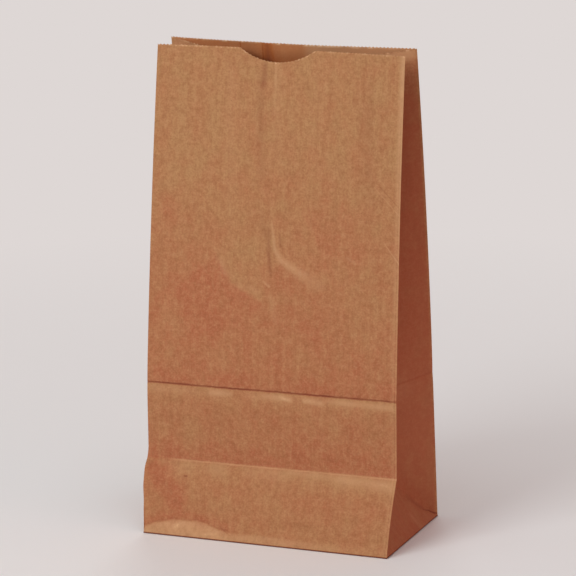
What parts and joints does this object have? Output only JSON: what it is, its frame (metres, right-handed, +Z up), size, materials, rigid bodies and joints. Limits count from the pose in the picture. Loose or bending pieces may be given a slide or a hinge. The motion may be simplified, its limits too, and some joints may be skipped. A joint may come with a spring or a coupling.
{
  "type": "brown paper lunch bag",
  "caption": "Self-opening kraft paper lunch bag standing open: flat folded base, pleated sides, pinked mouth with a thumb notch.",
  "frame": {"origin": "centre of the bag's footprint, on the surface that it stands on", "axes": "+Z up to the mouth, -Y out of the front with the thumb notch, +X to the right along the bag's width as seen from the front"},
  "size_m": [0.1533, 0.0891, 0.2815],
  "materials": {
    "kraft_paper": "matt unbleached kraft, lightly mottled, with pressed fold lines"
  },
  "bodies": {
    "root": {"paper_bag": "kraft_paper"}
  },
  "joints": []
}
